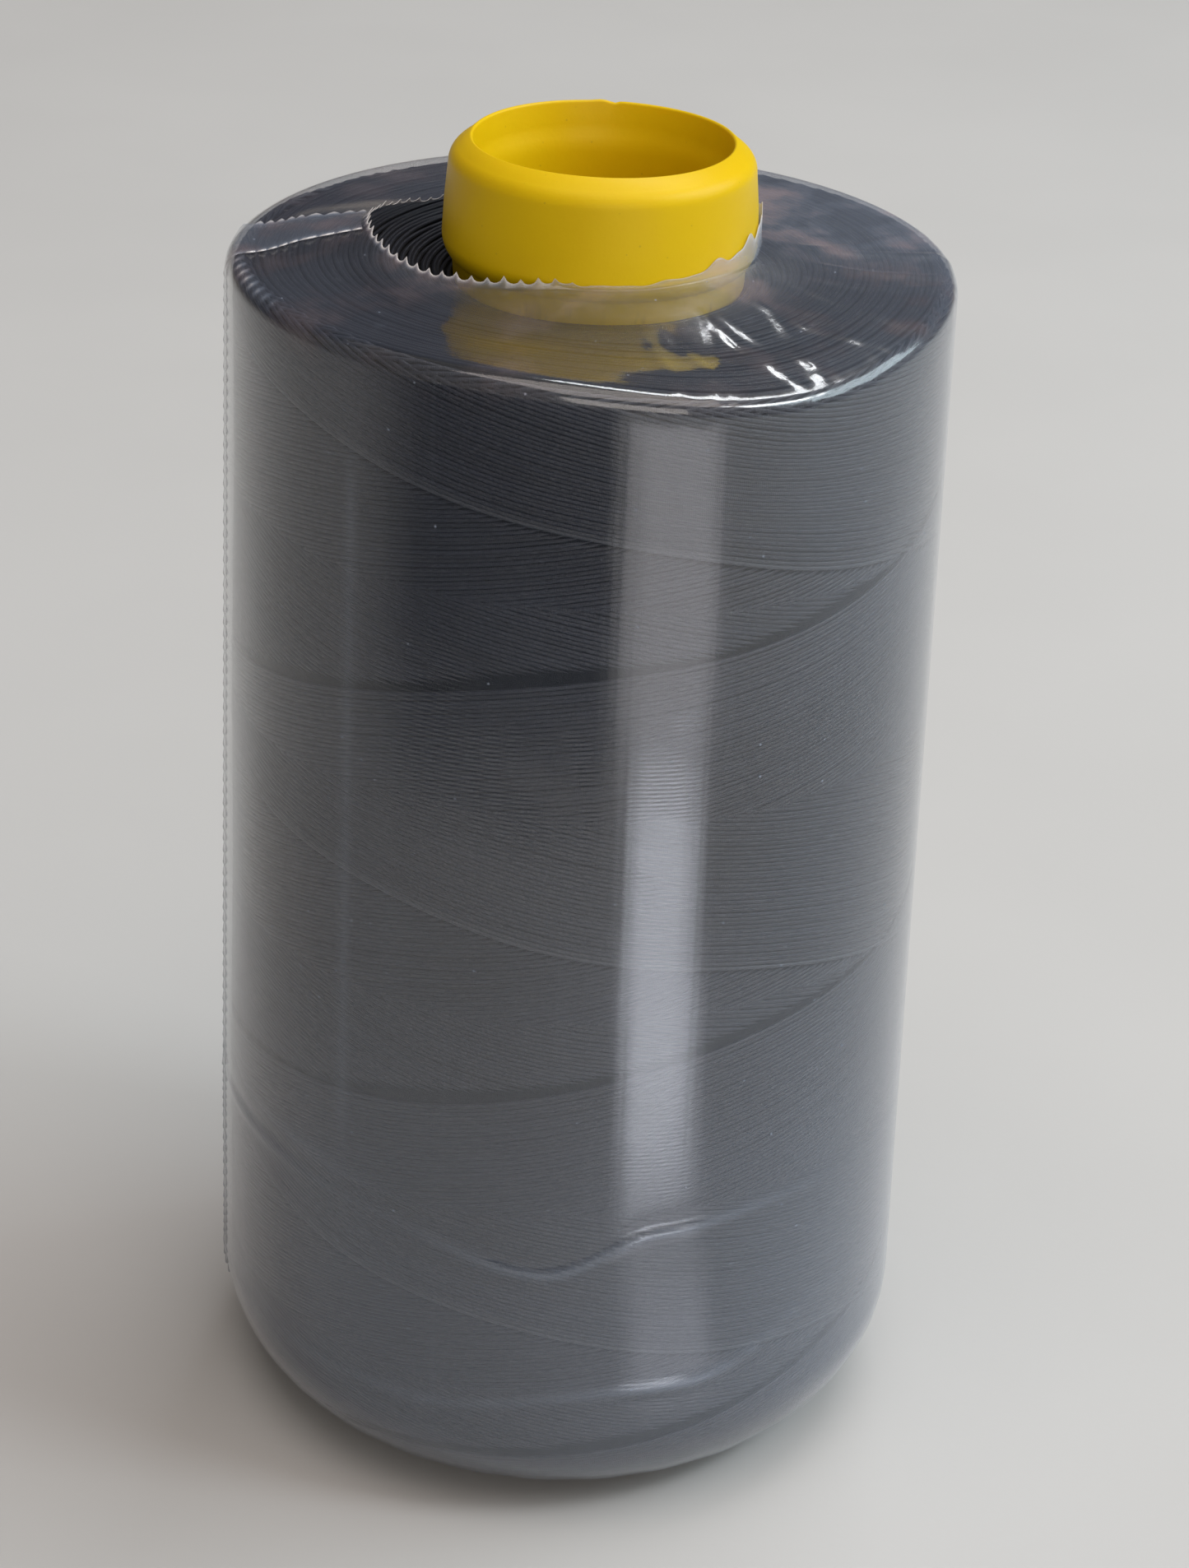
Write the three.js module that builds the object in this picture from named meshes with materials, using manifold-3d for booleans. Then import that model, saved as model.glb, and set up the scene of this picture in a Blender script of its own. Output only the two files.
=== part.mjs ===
// A spool of sewing thread: a yellow moulded tube, the cross-wound thread on it, and a clear
// shrink film sealed by a lap seam. Millimetres, +Z up, origin on the tube's axis at its foot.
import * as THREE from 'three';
import { mergeVertices } from 'three/addons/utils/BufferGeometryUtils.js';
import Module from 'manifold-3d';

const wasm = await Module();
wasm.setup();

// Driving dimensions
const totalHeight = 117.0;
const roundSegments = 72;
const gap = 0.3; // between pieces that touch
const beyond = 5; // how far a cutting body runs past what it cuts

const wrap = {
  topRadius: 30.0,
  footRadius: 31.0,
  bottom: 0.6, // the film hangs just clear of what the tube stands on
  top: 107.2,
  thickness: 0.4,
  footRounding: 10.2,
  topRounding: 1.2,
  nearAxis: 9.0, // the end faces run in to here before their holes are cut
};
const rim = {
  bulge: 0.15, // how far the wall stands out where the slump begins
  bulgeRise: 7.0, // over this height it falls to a third of that
  outerRing: 4.0, // rings of points on the end face, in from the wall, so that it can sink smoothly
  innerRing: 8.0,
};
const noseHole = { centreX: -3.2, centreY: 0.6, radiusX: 16.9, radiusY: 14.4 };
const footHole = { centreX: 0, centreY: 0, radiusX: 19.4, radiusY: 19.4 };
const tooth = { pitch: 1.2, depth: 0.6 };
const lap = { width: 7.4, azimuth: 180 }; // degrees round from +X
const slump = { // where the top rim has sunk a little
  depth: 2.2,
  azimuth: -58,
  spread: 30,
  below: 92, // it starts at this height on the wall
  full: 104.2,
  fromRadius: 14.9, // and at this radius on the end face
  toRadius: 27.0,
};

const nose = {
  mouthRadius: 10.6,
  mouthTaper: 0.15,
  ledgeDepth: 2.7,
  ledgeFall: 0.2,
  boreRadius: 10.05,
  shoulderRadius: 12.55,
  shoulderDrop: 2.1, // from the lip down to the top of the collar's wall
  shoulderRounding: 1.6,
  beadRadius: 13.0, // the widest part of the collar
  beadHeight: 109.0,
  beadRounding: 2.6,
  neckRadius: 11.8,
  neckTop: 105.4,
};
const barrel = { topRadius: 11.8, top: 98.0, footRadius: 15.2, wall: 1.7 };
const foot = { radius: 17.5, height: 3.0, chamfer: 0.5, mouthRadius: 14.4 };
const dish = { outer: 0.1, inner: 0.3, neck: 1.7 }; // how far the thread's end face sinks towards the neck

// An arc of a profile, its angles in degrees, from the +R direction towards +Z
function arc(centreR, centreZ, radius, from, to, steps) {
  const points = [];
  for (let i = 0; i <= steps; i += 1) {
    const angle = THREE.MathUtils.degToRad(from + (to - from) * (i / steps));
    points.push([centreR + radius * Math.cos(angle), centreZ + radius * Math.sin(angle)]);
  }
  return points;
}

// A closed ring-shaped body turned from a profile of [radius, height] points, listed
// counterclockwise: outwards along the bottom, up the outside and back down the inside
function turned(profile) {
  const outline = [...profile, profile[0]].map(([r, z]) => new THREE.Vector2(r, z));
  const geometry = new THREE.LatheGeometry(outline, roundSegments);
  geometry.rotateX(Math.PI / 2);
  geometry.deleteAttribute('normal');
  geometry.deleteAttribute('uv');
  return mergeVertices(geometry, 1e-4);
}

// A closed prism over a flat outline of [x, y] points
function prism(outline, bottom, top) {
  const shape = new THREE.Shape(outline.map(([x, y]) => new THREE.Vector2(x, y)));
  const geometry = new THREE.ExtrudeGeometry(shape, { depth: top - bottom, bevelEnabled: false });
  geometry.translate(0, 0, bottom);
  geometry.deleteAttribute('normal');
  geometry.deleteAttribute('uv');
  return mergeVertices(geometry, 1e-4);
}

function solid(geometry) {
  return new wasm.Manifold(new wasm.Mesh({
    numProp: 3,
    vertProperties: new Float32Array(geometry.attributes.position.array),
    triVerts: new Uint32Array(geometry.index.array),
  }));
}

function geometryOf(manifold) {
  const { vertProperties, triVerts } = manifold.getMesh();
  const geometry = new THREE.BufferGeometry();
  geometry.setAttribute('position', new THREE.BufferAttribute(vertProperties, 3));
  geometry.setIndex(new THREE.BufferAttribute(triVerts, 1));
  return geometry;
}

function named(name, geometry, look) {
  geometry.computeVertexNormals();
  const mesh = new THREE.Mesh(geometry, new THREE.MeshStandardMaterial(look));
  mesh.name = name;
  return mesh;
}

// The tube: nose collar, neck, conical barrel and foot bead in one moulding
function coreTube() {
  const shoulderZ = totalHeight - nose.shoulderDrop;
  const shoulderR = nose.shoulderRadius - nose.shoulderRounding;
  const profile = [
    [foot.mouthRadius, 0],
    [foot.radius - foot.chamfer, 0],
    [foot.radius, foot.chamfer],
    [foot.radius, foot.height - foot.chamfer],
    [foot.radius - foot.chamfer, foot.height],
    [barrel.footRadius, foot.height],
    [barrel.topRadius, barrel.top],
    [nose.neckRadius, nose.neckTop],
    ...arc(nose.beadRadius - nose.beadRounding, nose.beadHeight, nose.beadRounding, -50, 0, 6),
    [nose.shoulderRadius, shoulderZ],
    ...arc(shoulderR, shoulderZ, nose.shoulderRounding, 20, 70, 4),
    [nose.mouthRadius, totalHeight],
    [nose.mouthRadius - nose.mouthTaper, totalHeight - nose.ledgeDepth],
    [nose.boreRadius, totalHeight - nose.ledgeDepth - nose.ledgeFall],
    [nose.boreRadius, barrel.top],
    [barrel.footRadius - barrel.wall, foot.height],
  ];
  return turned(profile);
}

// Lowers the top of a body where the rim has slumped, fading towards the axis and down the wall
function slumped(geometry) {
  const position = geometry.attributes.position;
  for (let i = 0; i < position.count; i += 1) {
    const x = position.getX(i);
    const y = position.getY(i);
    const z = position.getZ(i);
    let turn = THREE.MathUtils.radToDeg(Math.atan2(y, x)) - slump.azimuth;
    turn = ((turn + 540) % 360) - 180;
    const around = Math.exp(-((turn / slump.spread) ** 2));
    const outwards = THREE.MathUtils.smoothstep(Math.hypot(x, y), slump.fromRadius, slump.toRadius);
    const upwards = THREE.MathUtils.smoothstep(z, slump.below, slump.full);
    position.setZ(i, z - slump.depth * around * outwards * upwards);
  }
  return geometry;
}

// The wall under the rim, the rim, and the two rings on the end face where it can sink
function rimPoints(radius, top, rounding, sag) {
  return [
    [radius + rim.bulge, slump.below],
    [radius + rim.bulge / 3, slump.below + rim.bulgeRise],
    ...arc(radius - rounding, top - rounding, rounding, 0, 90, 3),
    [radius - rim.outerRing, top - sag.outer],
    [radius - rim.innerRing, top - sag.inner],
  ];
}

// The wound thread as one closed body with dished ends, following the barrel inside
function threadPackage() {
  const inset = wrap.thickness + gap;
  const footZ = wrap.bottom + inset;
  const rimZ = wrap.top - inset;
  const footRadius = wrap.footRadius - inset;
  const footRounding = wrap.footRounding - inset;
  const profile = [
    [foot.radius + gap, footZ],
    ...arc(footRadius - footRounding, footZ + footRounding, footRounding, -90, 0, 8),
    ...rimPoints(wrap.topRadius - inset, rimZ, wrap.topRounding - gap, dish),
    [nose.neckRadius + gap, rimZ - dish.neck],
    [barrel.topRadius + gap, barrel.top],
    [barrel.footRadius + gap, foot.height + gap],
    [foot.radius + gap, foot.height + gap],
  ];
  return slumped(turned(profile));
}

// One face of the wrap, the given depth inside its outer one, from foot to nose
function wrapFace(depth) {
  const footCentreR = wrap.footRadius - wrap.footRounding;
  const footCentreZ = wrap.bottom + wrap.footRounding;
  const flat = { outer: 0, inner: 0 };
  return [
    [wrap.nearAxis, wrap.bottom + depth],
    ...arc(footCentreR, footCentreZ, wrap.footRounding - depth, -90, 0, 7),
    ...rimPoints(wrap.topRadius - depth, wrap.top - depth, wrap.topRounding - depth, flat),
    [wrap.nearAxis, wrap.top - depth],
  ];
}

// The whole wrap before its holes are cut: side, rounded foot edge and both end faces
function wrapShell() {
  return solid(slumped(turned([...wrapFace(0), ...wrapFace(wrap.thickness).reverse()])));
}

// A hole with a saw-toothed edge, as a cutting prism
function toothedHole(hole, bottom, top) {
  const around = Math.PI * (hole.radiusX + hole.radiusY);
  const teeth = Math.round(around / tooth.pitch);
  const outline = [];
  for (let i = 0; i < teeth * 2; i += 1) {
    const angle = (i / (teeth * 2)) * Math.PI * 2;
    const reach = i % 2 === 0 ? 0 : tooth.depth;
    outline.push([
      hole.centreX + (hole.radiusX + reach) * Math.cos(angle),
      hole.centreY + (hole.radiusY + reach) * Math.sin(angle),
    ]);
  }
  return solid(prism(outline, bottom, top));
}

// A bar of the given width on the seam's side of the axis, to part the lap from the sleeve
function lapBar(width) {
  const reach = wrap.footRadius + beyond;
  const bar = new THREE.BoxGeometry(reach, width, totalHeight + 2 * beyond);
  bar.deleteAttribute('normal');
  bar.deleteAttribute('uv');
  bar.translate(reach / 2, 0, totalHeight / 2);
  bar.rotateZ(THREE.MathUtils.degToRad(lap.azimuth));
  return solid(mergeVertices(bar, 1e-4));
}

const middle = totalHeight / 2;
const wrapWithHoles = wrapShell()
  .subtract(toothedHole(noseHole, middle, totalHeight + beyond))
  .subtract(toothedHole(footHole, -beyond, middle));
const filmSleeve = wrapWithHoles.subtract(lapBar(lap.width + 2 * gap));
const filmLapSeam = wrapWithHoles.intersect(lapBar(lap.width));

const yellowPlastic = { color: 0xd4b80a, roughness: 0.42, metalness: 0 };
const slateThread = { color: 0x4a4b53, roughness: 0.75, metalness: 0 };
const clearFilm = { color: 0xc9ccd0, roughness: 0.12, metalness: 0, transparent: true, opacity: 0.35 };

const spool = new THREE.Group();
spool.add(named('core_tube', coreTube(), yellowPlastic));
spool.add(named('thread_package', threadPackage(), slateThread));
spool.add(named('film_sleeve', geometryOf(filmSleeve), clearFilm));
spool.add(named('film_lap_seam', geometryOf(filmLapSeam), clearFilm));

export default spool;
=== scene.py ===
import math
import random
import bmesh
import bpy
from mathutils import Matrix, Vector


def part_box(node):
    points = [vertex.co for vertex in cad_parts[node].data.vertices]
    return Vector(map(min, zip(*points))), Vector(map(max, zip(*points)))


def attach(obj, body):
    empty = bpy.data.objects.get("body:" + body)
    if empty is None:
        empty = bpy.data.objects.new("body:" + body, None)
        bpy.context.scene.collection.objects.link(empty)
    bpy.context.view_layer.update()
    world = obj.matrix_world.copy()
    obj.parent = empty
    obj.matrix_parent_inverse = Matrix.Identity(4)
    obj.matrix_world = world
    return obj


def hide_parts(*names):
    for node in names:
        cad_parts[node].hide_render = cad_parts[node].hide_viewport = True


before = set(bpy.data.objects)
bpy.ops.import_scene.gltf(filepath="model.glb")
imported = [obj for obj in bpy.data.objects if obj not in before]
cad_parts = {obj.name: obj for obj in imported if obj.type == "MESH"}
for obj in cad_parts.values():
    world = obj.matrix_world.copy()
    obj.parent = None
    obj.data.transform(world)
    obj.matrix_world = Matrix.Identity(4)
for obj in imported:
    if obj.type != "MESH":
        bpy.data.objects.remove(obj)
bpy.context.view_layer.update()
mm = 0.001
turn = math.tau
print("frame loaded:", sorted(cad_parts))

# overall sizes in millimetres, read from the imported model
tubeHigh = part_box("core_tube")[1] / mm
wrapLow, wrapHigh = (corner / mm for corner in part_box("film_sleeve"))
spool = {
    "height": tubeHigh.z,
    "rimTop": wrapHigh.z,
    "rimRadius": wrapHigh.y - 1.0,  # the wall draws in towards the rim
    "footRadius": wrapHigh.y,
    "footBottom": wrapLow.z,
    "footRounding": 10.2,
    "tubeFoot": tubeHigh.y,
}


cameraSet = {
    "lens": 83.1,  # on a 36 mm sensor laid along the long side
    "back": 285.64,
    "up": 202.5,
    "pitch": 0.4675,
    "yaw": 0.0049,
    "roll": 0.0412,
}


def makeCamera():
    c = cameraSet
    forward = Vector((math.sin(c["yaw"]) * math.cos(c["pitch"]),
                      math.cos(c["yaw"]) * math.cos(c["pitch"]), -math.sin(c["pitch"])))
    level = Vector((math.cos(c["yaw"]), -math.sin(c["yaw"]), 0))
    above = level.cross(forward)
    right = level * math.cos(c["roll"]) + above * math.sin(c["roll"])
    up = above * math.cos(c["roll"]) - level * math.sin(c["roll"])
    data = bpy.data.cameras.new("camera")
    data.sensor_width = 36
    data.lens = c["lens"]
    data.clip_start = 0.01
    camera = bpy.data.objects.new("camera", data)
    turned = Matrix((right, up, -forward)).transposed().to_4x4()
    camera.matrix_world = Matrix.Translation(Vector((0, -c["back"], c["up"])) * mm) @ turned
    bpy.context.collection.objects.link(camera)
    bpy.context.scene.camera = camera
    bpy.context.scene.view_settings.view_transform = "Standard"


makeCamera()
print("camera placed")


class Value:
    # one output socket, on which + - * / and the named functions add nodes
    def __init__(self, maker, socket):
        self.maker = maker
        self.socket = socket

    def math(self, operation, *others):
        return self.maker.node("ShaderNodeMath", {"operation": operation}, dict(enumerate(others)))

    def __add__(self, other):
        return self.math("ADD", self, other)

    __radd__ = __add__

    def __sub__(self, other):
        return self.math("SUBTRACT", self, other)

    def __rsub__(self, other):
        return self.math("SUBTRACT", other, self)

    def __mul__(self, other):
        return self.math("MULTIPLY", self, other)

    __rmul__ = __mul__

    def __truediv__(self, other):
        return self.math("DIVIDE", self, other)

    def __rtruediv__(self, other):
        return self.math("DIVIDE", other, self)

    def sine(self):
        return self.math("SINE", self)

    def floor(self):
        return self.math("FLOOR", self)

    def power(self, exponent):
        return self.math("POWER", self, exponent)

    def absolute(self):
        return self.math("ABSOLUTE", self)

    def between(self, low, high, toLow=0.0, toHigh=1.0):
        # a smooth step from one value to another
        return self.maker.node("ShaderNodeMapRange", {"interpolation_type": "SMOOTHSTEP"},
                               {"Value": self, "From Min": low, "From Max": high,
                                "To Min": toLow, "To Max": toHigh})


class Maker:
    # a new material and the one way in which its nodes are made
    def __init__(self, name):
        self.material = bpy.data.materials.new(name)
        self.material.use_nodes = True
        self.tree = self.material.node_tree
        self.tree.nodes.clear()

    def node(self, kind, settings=None, values=None, out=0):
        node = self.tree.nodes.new(kind)
        for key, value in (settings or {}).items():
            setattr(node, key, value)
        for key, value in (values or {}).items():
            self.feed(node.inputs[key], value)
        return Value(self, node.outputs[out])

    def feed(self, socket, value):
        if isinstance(value, Value):
            self.tree.links.new(value.socket, socket)
        else:
            socket.default_value = value

    def object(self):
        return self.node("ShaderNodeTexCoord", out="Object")

    def parts(self, vector):
        split = self.node("ShaderNodeSeparateXYZ", None, {0: vector}).socket.node
        return [Value(self, output) for output in split.outputs]

    def scaled(self, vector, amounts, place=(0, 0, 0)):
        return self.node("ShaderNodeMapping", {"vector_type": "POINT"},
                         {"Vector": vector, "Scale": amounts, "Location": place})

    def noise(self, vector, scale, detail=3.0, rough=0.5):
        return self.node("ShaderNodeTexNoise", {"noise_dimensions": "3D"},
                         {"Vector": vector, "Scale": scale, "Detail": detail, "Roughness": rough})

    def blend(self, factor, first, second):
        # colours mix through Mix, so that they keep their hue
        mixer = self.tree.nodes.new("ShaderNodeMix")
        mixer.data_type = "RGBA"
        for slot, value in ((0, factor), (6, first), (7, second)):
            self.feed(mixer.inputs[slot], value)
        return Value(self, mixer.outputs[2])

    def bump(self, height, distance, strength=1.0):
        return self.node("ShaderNodeBump", None,
                         {"Height": height, "Distance": distance, "Strength": strength})

    def finish(self, shader):
        output = self.tree.nodes.new("ShaderNodeOutputMaterial")
        self.tree.links.new(shader.socket, output.inputs["Surface"])
        return self.material


def grey(level, alpha=1.0):
    return (level, level, level, alpha)


def newPiece(name, bm, material, smooth=True):
    mesh = bpy.data.meshes.new(name)
    bm.to_mesh(mesh)
    bm.free()
    mesh.materials.append(material)
    mesh.polygons.foreach_set("use_smooth", [smooth] * len(mesh.polygons))
    piece = bpy.data.objects.new(name, mesh)
    bpy.context.collection.objects.link(piece)
    return piece


def rideOn(piece, slot, *nodes):
    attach(piece, "root")
    if nodes:
        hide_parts(*nodes)
    print("made", piece.name, len(piece.data.polygons), "faces")


def arc(centreR, centreZ, radius, start, end, steps):
    # points of a round stretch of a profile, its angles in degrees from +R towards +Z
    points = []
    for i in range(steps + 1):
        angle = math.radians(start + (end - start) * i / steps)
        points.append((centreR + radius * math.cos(angle), centreZ + radius * math.sin(angle)))
    return points


def spun(profile, steps):
    # a closed profile of (radius, height) turned all the way round, facing out
    bm = bmesh.new()
    corners = [bm.verts.new((r * mm, 0, z * mm)) for r, z in profile]
    edges = [bm.edges.new((a, b)) for a, b in zip(corners, corners[1:] + corners[:1])]
    bmesh.ops.spin(bm, geom=corners + edges, cent=(0, 0, 0), axis=(0, 0, 1), dvec=(0, 0, 0),
                   angle=turn, steps=steps, use_merge=True, use_duplicate=False)
    bmesh.ops.remove_doubles(bm, verts=bm.verts, dist=1e-6)
    bmesh.ops.recalc_face_normals(bm, faces=bm.faces)
    return bm


def bell(x, centre, width):
    return math.exp(-((x - centre) / width) ** 2)


def bellRound(angle, centre, width):
    # the same on an angle, the short way round, in degrees
    away = (math.degrees(angle) - centre + 540) % 360 - 180
    return math.exp(-(away / width) ** 2)


def ease(x, low, high):
    t = min(max((x - low) / (high - low), 0), 1)
    return t * t * (3 - 2 * t)


slumpSet = {
    "depth": 2.2,  # how far the rim has sunk at the front right
    "azimuth": -58,
    "spread": 30,
    "below": 92,
    "full": 3,  # below the top, where the whole depth is reached
    "slope": (14.9, 27),
    "edge": (24.5, 29.4),
    "edgeShare": 0.4,
}


def slumpAt(angle, radius, height):
    s = slumpSet
    share = s["edgeShare"]
    sunk = (1 - share) * ease(radius, *s["slope"]) + share * ease(radius, *s["edge"])
    return (s["depth"] * bellRound(angle, s["azimuth"], s["spread"]) * sunk
            * ease(height, s["below"], spool["rimTop"] - s["full"]))


def wallRadius(height):
    rise = (height - spool["footRounding"]) / (spool["rimTop"] - spool["footRounding"])
    return spool["footRadius"] + (spool["rimRadius"] - spool["footRadius"]) * min(max(rise, 0), 1)


tubeSet = {
    "mouthRadius": 10.6,
    "ledgeDepth": 2.7,
    "boreRadius": 10.05,
    "shoulderRadius": 12.6,
    "shoulderRounding": 1.75,
    "beadRadius": 13.0,
    "beadHeight": 109.0,
    "beadRounding": 2.6,
    "neckRadius": 11.8,
    "neckTop": 105.4,
    "barrelTop": 98.0,
    "barrelFoot": 15.2,
    "wall": 1.7,
    "footHeight": 3.0,
    "footMouth": 14.4,
    "edge": 0.25,
    "steps": 160,
    "nickAzimuth": 86,
    "nickDepth": 0.16,
    "yellow": (0.68, 0.45, 0.001, 1),
    "yellowLight": (0.73, 0.50, 0.001, 1),
    "speckColour": (0.28, 0.17, 0.02, 1),
    # dark of the band where the neck meets the thread: part fibre grime, part painted shade
    "grimeShadeColour": (0.10, 0.07, 0.02, 1),
    "rough": (0.34, 0.46),
}


def tubeMaterial():
    m, t = Maker("yellow_plastic"), tubeSet
    place = m.object()
    z = m.parts(place)[2]
    cloud = m.noise(m.scaled(place, (60, 60, 60)), 1.0, 4.0)
    grain = m.noise(place, 2600.0, 3.0, 0.6)
    specks = m.node("ShaderNodeTexVoronoi", None, {"Vector": place, "Scale": 700.0})
    dust = specks.between(0.02, 0.09, 1.0, 0.0)
    fuzz = m.noise(m.scaled(place, (900, 900, 260)), 1.0, 2.0, 0.7)
    # a darker band where the neck meets the thread: part fibre grime, part painted shade between the parts
    nearThread = z.between(0.1055, 0.1078, 1.0, 0.0) * z.between(0.1040, 0.1050)
    grimeAndShade = nearThread * fuzz.between(0.5, 0.72) * 0.3
    body = m.blend(cloud.between(0.35, 0.7), t["yellow"], t["yellowLight"])
    dirty = m.blend(dust * 0.35, body, t["speckColour"])
    colour = m.blend(grimeAndShade, dirty, t["grimeShadeColour"])
    rough = cloud.between(0.3, 0.75, *t["rough"]) + grain * 0.05
    normal = m.bump(grain * 0.7 + cloud * 6.0, 0.00004, 0.5)
    shader = m.node("ShaderNodeBsdfPrincipled", None, {
        "Base Color": colour, "Roughness": rough, "Normal": normal,
        "Subsurface Weight": 0.12, "Subsurface Radius": (0.6, 0.35, 0.05), "Subsurface Scale": 0.002,
        "Specular IOR Level": 0.2,
    })
    return m.finish(shader)


def makeTube():
    t = tubeSet
    top = spool["height"]
    shoulderZ = top - 0.5 - t["shoulderRounding"]
    foot = spool["tubeFoot"]
    profile = [
        *arc(t["footMouth"] + t["edge"], t["edge"], t["edge"], 180, 270, 3),
        *arc(foot - 0.6, 0.6, 0.6, -90, 0, 4),
        *arc(foot - 0.6, t["footHeight"] - 0.6, 0.6, 0, 90, 4),
        (t["barrelFoot"], t["footHeight"]),
        (t["neckRadius"], t["barrelTop"]),
        *arc(t["neckRadius"] + 0.6, t["neckTop"] - 0.6, 0.6, 180, 130, 3),
        *arc(t["beadRadius"] - t["beadRounding"], t["beadHeight"], t["beadRounding"], -48, 0, 9),
        ((t["beadRadius"] + t["shoulderRadius"]) / 2 + 0.06, (t["beadHeight"] + shoulderZ) / 2),
        *arc(t["shoulderRadius"] - t["shoulderRounding"], shoulderZ, t["shoulderRounding"], 0, 62, 9),
        *arc(t["mouthRadius"] + 0.22, top - 0.2, 0.2, 75, 180, 4),
        (t["mouthRadius"] - 0.13, top - t["ledgeDepth"] + 0.8),
        (t["mouthRadius"] - 0.20, top - t["ledgeDepth"] + 0.3),
        (t["boreRadius"] + 0.18, top - t["ledgeDepth"] - 0.3),
        (t["boreRadius"] + 0.05, top - t["ledgeDepth"] - 0.9),
        (t["boreRadius"], top - t["ledgeDepth"] - 1.6),
        (t["boreRadius"], t["barrelTop"]),
        (t["barrelFoot"] - t["wall"], t["footHeight"]),
    ]
    bm = spun(profile, t["steps"])
    for vert in bm.verts:
        # a small nick in the back of the lip, and a moulding that isn't quite round
        angle = math.atan2(vert.co.y, vert.co.x)
        high = ease(vert.co.z / mm, top - 1.2, top)
        vert.co.z -= t["nickDepth"] * mm * high * bellRound(angle, t["nickAzimuth"], 1.9)
        vert.co.z += 0.08 * mm * high * bellRound(angle, t["nickAzimuth"] + 6, 3.0)
        vert.co.z += 0.04 * mm * high * math.sin(3 * angle + 1)
    piece = newPiece("core_tube_moulding", bm, tubeMaterial())
    rideOn(piece, "yellow_plastic", "core_tube")


makeTube()


windSet = {
    "lead": 36.8,  # climb of a strand in one turn
    "strands": 94,  # laid side by side in one lead
    "risingEdge": 81.6,  # height, at the front, of the newest strand that climbs to the right
    "fallingEdge": 94.2,  # and of the newest one that falls to the right
    "radius": 0.19,
    "inset": 0.70,  # from the wrap to the middle of the oldest strands
    "offAxis": -0.3,  # the package leans this far towards its seam
    "lift": 0.26,  # how much higher the newest strands lie
    "stepAngle": 4.0,
    "sides": 6,
    "dive": 0.5,
    "wander": 0.05,
    "waves": ((0.40, 2, 0.07), (0.22, 5, -0.11)),  # size, times round, lean with height
    "rimRounding": 1.1,
    "rimRise": 0.16,
    "startBack": 0.014,  # in turns, how far a strand's covered start reaches back
    "startSpread": 0.012,
    "risingOn": 0.005,  # how far a rising strand runs on under its neighbour
    "groove": 0.0065,  # how far a falling strand stops short, with its raggedness and spread
    "ragged": 0.0036,
    "grooveSpread": 0.0025,
    "shortest": 0.012,
    "startRun": 0.02,
    "endRun": 0.008,
    "endDive": 0.3,
    "fallingFirst": 100,  # number of the newest falling strand, which also carries the painted highlight
    "endFirst": 300,
    "endPitch": 0.42,
    "endSteps": 96,
    "endThick": 1.1,
    "topLift": 0.30,
    "dish": 1.7,
    "slate": (0.0125, 0.0158, 0.0275),
    "edgeHighlightColour": (0.066, 0.074, 0.090, 1),  # painted highlight on the newest falling strand, where its edge catches the light
    "gloss": 0.27,
    "seed": 7,
}

coreSet = {
    "steps": 128,
    "rows": 60,
    "under": 0.12,  # how far below the strands' middles its wall lies
    "endUnder": 0.14,
    "topRadii": (26, 22, 18, 14.5),
    "footRadius": 19.4,
    "clear": 0.15,  # from the tube
}


def threadMaterial(name, depth):
    m, w = Maker(name), windSet
    length, around = m.parts(m.node("ShaderNodeUVMap"))[:2]
    strand = around.floor()
    which = m.node("ShaderNodeTexWhiteNoise", {"noise_dimensions": "1D"}, {"W": strand}, out="Value")
    plies = ((length * 5.6 + around) * turn + which * 9.0).sine()
    place = m.object()
    patch = m.noise(m.scaled(place, (45, 45, 90)), 1.0, 3.0)
    fibre = m.noise(m.scaled(place, (5000, 5000, 5000)), 1.0, 2.0, 0.7)
    # the newest falling strand is lighter: a painted highlight along the edge it makes
    edgeHighlight = (strand - w["fallingFirst"]).absolute().between(0.3, 1.6, 1.0, 0.0)
    tone = 0.72 + which * 0.34 + plies * 0.18 + patch.between(0.3, 0.7, -0.12, 0.14) + fibre * 0.16
    # depth below 1 darkens tone and gloss: painted shade, for the inner layers (0.12) and the end faces
    # (0.6)
    tone = tone * depth
    colour = m.node("ShaderNodeVectorMath", {"operation": "SCALE"}, {0: w["slate"], "Scale": tone})
    colour = m.blend(edgeHighlight * 0.55, colour, w["edgeHighlightColour"])
    normal = m.bump(plies.between(-1.0, 1.0) + fibre * 0.25, 0.00004, 0.45)
    shader = m.node("ShaderNodeBsdfPrincipled", None, {
        "Base Color": colour, "Roughness": w["gloss"] + fibre * 0.12, "Normal": normal,
        "Sheen Weight": 0.05, "Sheen Roughness": 0.4, "Specular IOR Level": 0.42 * depth,
    })
    return m.finish(shader)


def packagePoint(height, out):
    # a point of the wound surface as (radius, height), moved out from it, for a height that
    # runs on round the rim above and round the foot below
    w = windSet
    inset = w["inset"]
    footCentreZ = spool["footBottom"] + spool["footRounding"]
    footRounding = spool["footRounding"] - inset
    rimRounding = w["rimRounding"]
    rimCentreZ = spool["rimTop"] - inset + w["rimRise"] - rimRounding
    if height < footCentreZ:
        angle = min((footCentreZ - height) / footRounding, math.pi / 2)
        reach = footRounding + out
        return (spool["footRadius"] - spool["footRounding"] + reach * math.cos(angle),
                footCentreZ - reach * math.sin(angle))
    if height > rimCentreZ:
        angle = min((height - rimCentreZ) / rimRounding, math.pi / 2)
        reach = rimRounding + out
        return (wallRadius(height) - inset - rimRounding + reach * math.cos(angle),
                rimCentreZ + reach * math.sin(angle))
    return wallRadius(height) - inset + out, height


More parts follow.
